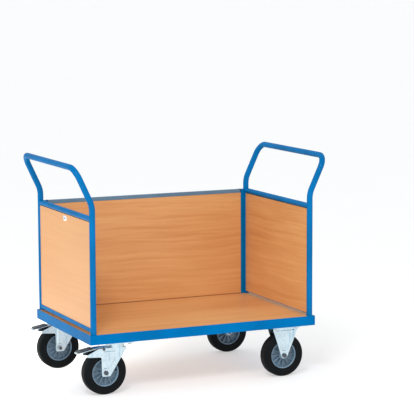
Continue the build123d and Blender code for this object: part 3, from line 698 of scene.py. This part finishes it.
rib_count = 12
rib_width = 3.4 * MM
rib_top = rim_half - 5 * MM
rib_length = barrel_radius - hub_radius
rib_middle = (barrel_radius + hub_radius) / 2
ribs = []
for side in (-1, 1):
    clear_selection()
    bpy.ops.mesh.primitive_cube_add(size=1, location=(rib_middle, side * rib_top / 2, 0),
                                    scale=(rib_length, rib_top, rib_width))
    rib = apply_place()
    edit(rib)
    bpy.ops.mesh.subdivide(number_cuts=3)
    clear_selection()
    for point in rib.data.vertices:
        height = abs(point.co.y) / rib_top
        outward = (point.co.x - hub_radius) / rib_length
        point.co.z *= 1 - 0.3 * height
        point.co.y *= 1 + 0.1 * (1 - outward) - 0.12 * sin(pi * outward)
    edit(rib)
    bpy.ops.mesh.spin(steps=rib_count - 1, angle=2 * pi * (rib_count - 1) / rib_count, dupli=True,
                      center=(0, 0, 0), axis=(0, 1, 0))
    clear_selection()
    ribs.append(rib)
rib_ring = joined("rib_ring", *ribs)
use_modifier(rib_ring, "BEVEL", width=0.5 * MM, segments=2, limit_method="ANGLE", angle_limit=radians(50))
use_modifier(rim_shape, "BOOLEAN", operation="UNION", object=rib_ring, solver="EXACT")
discard(rib_ring)
smooth(rim_shape)

sleeve_radius = 10 * MM
running_gap = 0.05 * MM
cage_outline = [(bore_radius - running_gap, 0), (bore_radius - running_gap, hub_half - 0.4 * MM),
                (bore_radius - 0.5 * MM, hub_half), (sleeve_radius + 0.6 * MM, hub_half),
                (sleeve_radius + running_gap, hub_half - 0.4 * MM), (sleeve_radius + running_gap, 0)]
cage_shape = turned("cage_shape", both_sides(cage_outline), 64, closed=True)

rubber = Finish("black_rubber", Specular_IOR_Level=0.12)
worn = rubber.node("Attribute", {"attribute_name": "tread"}, output=attribute_number)
rubber_cloud = rubber.noise(rubber.place, 38.0, 4.0, 0.6)
rubber_grain = rubber.noise(rubber.place, 1400.0, 2.0)
dusty = rubber_cloud.rise(0.35, 0.7) * (0.25 + 0.75 * worn)
rubber.set(Base_Color=rubber.mix(dusty * 0.5, shade(8, 12, 15), shade(34, 39, 42)))
rubber.set(Roughness=0.5 + 0.2 * dusty + 0.12 * rubber_grain)
rubber.relief(rubber_grain, 0.08 * MM, 0.6)

rim_plastic = coated_plastic("grey_blue_plastic", shade(104, 128, 146), 0.3, 1100.0, 0.3)
cage_plastic = coated_plastic("roller_cage_nylon", shade(205, 200, 186), 0.4, 1300.0)

for name in ("left_front", "left_rear", "right_front", "right_rear"):
    low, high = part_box(name + "_tyre")
    centre = (low + high) / 2
    for shape, part, node, finish, slot in (
            (tyre_shape, "rubber_tyre", "tyre", rubber.material, "black_rubber"),
            (rim_shape, "wheel_centre", "rim", rim_plastic, "grey_blue_rim"),
            (cage_shape, "roller_cage", "wheel_bearing", cage_plastic, "bearing_nylon")):
        piece = placed(shape, f"{name}_{part}", centre)
        smooth(piece)
        fit(piece, name + "_wheel", finish, slot, f"{name}_{node}")
discard(tyre_shape, rim_shape, cage_shape)

# ---------------------------------------------------------------- axle bolts, nuts and sleeves
# Dark grey M12 bolts with chamfered hexagon heads on the outer side of each fork, a nut on the inner
# side and a sleeve between the legs, both zinc plated.

chamfer_share = 0.55
face_share = 0.48
thread_share = 0.06


def hexagon(name, flats, low, high, chamfers):
    """A hexagon on the Y axis whose corners are turned off at the named ends, -1 and 1."""
    corner = flats / sqrt(3)
    clear_selection()
    bpy.ops.mesh.primitive_cylinder_add(vertices=6, radius=corner, depth=high - low,
                                        location=(0, (low + high) / 2, 0), rotation=(pi / 2, pi / 6, 0))
    piece = apply_place()
    piece.name = name
    drop = chamfer_share * (corner - flats / 2)
    face = flats * face_share
    outline = [(0, low)]
    outline += [(face, low), (corner, low + drop)] if -1 in chamfers else [(corner, low)]
    outline += [(corner, high - drop), (face, high)] if 1 in chamfers else [(corner, high)]
    outline += [(0, high)]
    blank = turned("turned_blank", [(radius * 1.001, along) for radius, along in outline], 72)
    use_modifier(piece, "BOOLEAN", operation="INTERSECT", object=blank, solver="EXACT")
    discard(blank)
    return piece


def threaded(radius, start, thread_start, end, pitch):
    """The outline of a shank with a rolled thread up to its chamfered end."""
    outline = [(0, start), (radius, start), (radius, thread_start)]
    turns = int((end - thread_start - 2 * pitch) / pitch)
    for turn in range(turns):
        along = thread_start + turn * pitch
        outline += [(radius - thread_share * radius, along + pitch / 2), (radius, along + pitch)]
    return outline + [(radius, end - 0.8 * pitch), (radius - 0.8 * pitch, end), (0, end)]


def bolt(name, flats, head, radius, reach, pitch, thread):
    """A bolt on the Y axis: its head from -head to 0 and its shank from 0 to reach."""
    piece = hexagon(name, flats, -head, 0, [-1])
    shank = turned("shank", threaded(radius, -head / 2, reach - thread, reach, pitch), 40)
    use_modifier(piece, "BOOLEAN", operation="UNION", object=shank, solver="EXACT")
    discard(shank)
    return piece


def nut(name, flats, thickness, radius):
    """A nut on the Y axis, from 0 to its thickness."""
    piece = hexagon(name, flats, 0, thickness, [-1, 1])
    hole = turned("hole", [(0, -1 * MM), (radius + 0.9 * MM, -0.1 * MM), (radius, 0.8 * MM),
                           (radius, thickness - 0.8 * MM), (radius + 0.9 * MM, thickness + 0.1 * MM),
                           (0, thickness + 1 * MM)], 40)
    use_modifier(piece, "BOOLEAN", operation="DIFFERENCE", object=hole, solver="EXACT")
    discard(hole)
    return piece


axle_radius = 6 * MM
m12_pitch, m12_thread = 1.75 * MM, 18 * MM
nut_low, nut_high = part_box("left_front_axle_nut")
bolt_low, bolt_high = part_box("left_front_axle_bolt")
wheel_y = (tyre_low.y + tyre_high.y) / 2
head_seat = wheel_y - leg_outside
m12_flats = bolt_high.z - bolt_low.z
bolt_shape = bolt("axle_bolt_shape", m12_flats, head_seat - bolt_low.y, axle_radius,
                  bolt_high.y - head_seat, m12_pitch, m12_thread)
nut_shape = nut("axle_nut_shape", m12_flats, nut_high.y - nut_low.y, axle_radius + running_gap)
leg_sheet = 3 * MM
sleeve_half = leg_outside - leg_sheet
sleeve_outline = [(sleeve_radius, 0), (sleeve_radius, sleeve_half - 0.5 * MM),
                  (sleeve_radius - 0.5 * MM, sleeve_half), (axle_radius + 0.5 * MM, sleeve_half),
                  (axle_radius + running_gap, sleeve_half - 0.5 * MM), (axle_radius + running_gap, 0)]
sleeve_shape = turned("sleeve_shape", both_sides(sleeve_outline), 48, closed=True)
hardware = (("bolt", bolt_shape, dark_steel, -leg_outside), ("nut", nut_shape, bolt_zinc, leg_outside),
            ("sleeve", sleeve_shape, bolt_zinc, 0))
for part, shape, metal, along in hardware:
    fixed_pair = []
    for side, turn in (("front", 0), ("rear", pi)):
        turned_about = Matrix.Rotation(turn, 4, "Z") @ Matrix.Translation((0, along, 0))
        for end in ("left", "right"):
            low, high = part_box(f"{end}_{side}_tyre")
            piece = placed(shape, f"{end}_{side}_zinc_{part}", (low + high) / 2, turned_about)
            if end == "right":
                fixed_pair.append(piece)
                continue
            smooth(piece)
            fit(piece, f"left_{side}_swivel", metal, "zinc_fastener", f"left_{side}_axle_{part}")
    pair = joined(f"fixed_fork_{part}s", *fixed_pair)
    smooth(pair)
    fit(pair, "trolley_frame", metal, "zinc_fastener", f"fixed_axle_{part}s")
discard(bolt_shape, nut_shape, sleeve_shape)

# ---------------------------------------------------------------- brake pedals
# A pressed lever on a riveted pin through the fork's cheeks, with a ribbed black tread on its foot
# plate and a hollowed block beneath that bears on the tyre when the tip is trodden down.

pin_low, pin_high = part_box("left_front_pedal_pin")
pin_radius = (pin_high.z - pin_low.z) / 2
cheek_emboss = 3 * MM
rivet_seat = leg_outside + cheek_emboss + running_gap
rivet_radius = 5.6 * MM
pin_outline = [(0, rivet_seat + 2 * MM), (rivet_radius - 1.2 * MM, rivet_seat + 1.9 * MM),
               (rivet_radius, rivet_seat + 0.9 * MM), (rivet_radius, rivet_seat), (pin_radius, rivet_seat)]
pin_shape = turned("pin_shape", both_sides(pin_outline), 32)
tread_tilt = radians(10.1)
tread_edge, lever_edge = 0.6 * MM, 0.7 * MM
tread_up = Vector((-sin(tread_tilt), 0, cos(tread_tilt)))
rib_crest = 0.9 * MM
tread_finish = Finish("ribbed_black_plastic", Specular_IOR_Level=0.45, Coat_Weight=0.1)
crested = tread_finish.node("Attribute", {"attribute_name": "crest"}, output=attribute_number)
tread_cloud = tread_finish.noise(tread_finish.place, 60.0, 4.0)
# Painted highlight: the rib crests get a lighter grey-blue in patches, standing in for light shining on
# them.
painted_crest_highlight = crested * tread_cloud.rise(0.25, 0.6)
tread_finish.set(Base_Color=tread_finish.mix(painted_crest_highlight, shade(20, 24, 27), shade(92, 106, 116)))
tread_finish.set(Roughness=0.5 - 0.14 * crested + 0.1 * tread_cloud)
tread_finish.relief(tread_finish.noise(tread_finish.place, 1300.0, 2.0), moulded_grain, 0.6)
for side in ("front", "rear"):
    pedal, swivel = f"left_{side}_pedal", f"left_{side}_swivel"
    low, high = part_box(f"left_{side}_pedal_pin")
    pin = placed(pin_shape, f"left_{side}_hinge_pin", (low + high) / 2)
    smooth(pin)
    fit(pin, swivel, dark_steel, "zinc_fastener", f"left_{side}_pedal_pin")
    fit(pressed_copy(f"left_{side}_pedal_lever", f"left_{side}_brake_lever", lever_edge), pedal,
        fork_zinc, "bright_zinc_fork", f"left_{side}_brake_lever")
    tread = pressed_copy(f"left_{side}_pedal_tread", f"left_{side}_brake_tread", tread_edge, 3)
    heights = [point.co.dot(tread_up) for point in tread.data.vertices]
    crest_low = max(heights) - rib_crest
    crest = tread.data.attributes.new("crest", "FLOAT", "POINT")
    for number, height in enumerate(heights):
        crest.data[number].value = 1.0 if height > crest_low else 0.0
    fit(tread, pedal, tread_finish.material, "black_plastic", f"left_{side}_brake_tread")
    fit(pressed_copy(f"left_{side}_brake_block", f"left_{side}_brake_shoe", lever_edge), pedal,
        black_plastic, "black_plastic", f"left_{side}_brake_shoe")
discard(pin_shape)

# ---------------------------------------------------------------- plate bolts and deck screws
# Sixteen M10 bolts come up through the caster plates into nuts inside the bearers, four more hold
# the posts on their corner plates, and eight screws come up through the ledges into the deck.

m10_flats = 16 * MM
m10_radius = 5 * MM
m10_pitch = 1.5 * MM
m10_head = 6.4 * MM
plate_hole_x, plate_hole_y = 52.5 * MM, 40 * MM
upright = Matrix.Rotation(pi / 2, 4, "X")
bolt_low, bolt_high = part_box("caster_bolts")
seat_z = bolt_low.z + m10_head
caster_bolt_shape = bolt("caster_bolt_shape", m10_flats, m10_head, m10_radius, bolt_high.z - seat_z,
                         m10_pitch, 10 * MM)
nuts_low, nuts_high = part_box("caster_nuts")
caster_nut_shape = nut("caster_nut_shape", m10_flats, nuts_high.z - nuts_low.z, m10_radius + running_gap)
fixed_low, fixed_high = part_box("right_front_fork")
caster_x = (fixed_low.x + fixed_high.x) / 2
caster_y = -(fixed_low.y + fixed_high.y) / 2
bolt_spots = [(end * caster_x + x, side * caster_y + y) for end in (-1, 1) for side in (-1, 1)
              for x in (-plate_hole_x, plate_hole_x) for y in (-plate_hole_y, plate_hole_y)]
bolts = [placed(caster_bolt_shape, "bolt", (x, y, seat_z), upright) for x, y in bolt_spots]
nuts = [placed(caster_nut_shape, "nut", (x, y, nuts_low.z), upright) for x, y in bolt_spots]
post_low, post_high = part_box("post_bolts")
post_seat = post_low.z + m10_head
post_bolt_shape = bolt("post_bolt_shape", m10_flats, m10_head, m10_radius, post_high.z - post_seat,
                       m10_pitch, 14 * MM)
post_spots = [(x, y) for x in (-post_x, post_x) for y in (-post_y, post_y)]
post_bolts = [placed(post_bolt_shape, "bolt", (x, y, post_seat), upright) for x, y in post_spots]
screw_low, screw_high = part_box("deck_screws")
screw_head = 4 * MM
screw_head_height = 3 * MM
screw_radius, screw_core, screw_pitch = 2 * MM, 1.5 * MM, 2 * MM
side_screw_x, end_screw_y = 200 * MM, 150 * MM
screw_outline = [(0, 0), (2.2 * MM, 0), (3.6 * MM, 0.9 * MM), (screw_head, 2.2 * MM),
                 (screw_head, screw_head_height), (screw_radius, screw_head_height)]
screw_length = screw_high.z - screw_low.z
for turn in range(6):
    along = screw_head_height + (turn + 0.5) * screw_pitch
    screw_outline += [(screw_core, along), (screw_radius, along + screw_pitch / 2)]
screw_outline += [(1.2 * MM, screw_length - 1 * MM), (0, screw_length)]
screw_shape = turned("screw_shape", screw_outline, 32)
for turn in (0, pi / 2):
    clear_selection()
    bpy.ops.mesh.primitive_cube_add(size=1, rotation=(0, turn, 0), scale=(4.4 * MM, 3 * MM, 0.9 * MM))
    slot_cutter = apply_place()
    use_modifier(screw_shape, "BOOLEAN", operation="DIFFERENCE", object=slot_cutter, solver="EXACT")
    discard(slot_cutter)
ledge_x = screw_high.x - screw_head
ledge_y = screw_high.y - screw_head
screw_spots = [(x, y) for x in (-side_screw_x, side_screw_x) for y in (-ledge_y, ledge_y)]
screw_spots += [(x, y) for x in (-ledge_x, ledge_x) for y in (-end_screw_y, end_screw_y)]
screws = [placed(screw_shape, "screw", (x, y, screw_low.z), upright) for x, y in screw_spots]
for name, pieces, node in (("caster_plate_bolts", bolts, "caster_bolts"),
                           ("caster_plate_nuts", nuts, "caster_nuts"),
                           ("post_foot_bolts", post_bolts, "post_bolts"),
                           ("ledge_screws", screws, "deck_screws")):
    group = joined(name, *pieces)
    smooth(group)
    fit(group, "trolley_frame", bolt_zinc, "zinc_fastener", node)
discard(caster_bolt_shape, caster_nut_shape, post_bolt_shape, screw_shape)
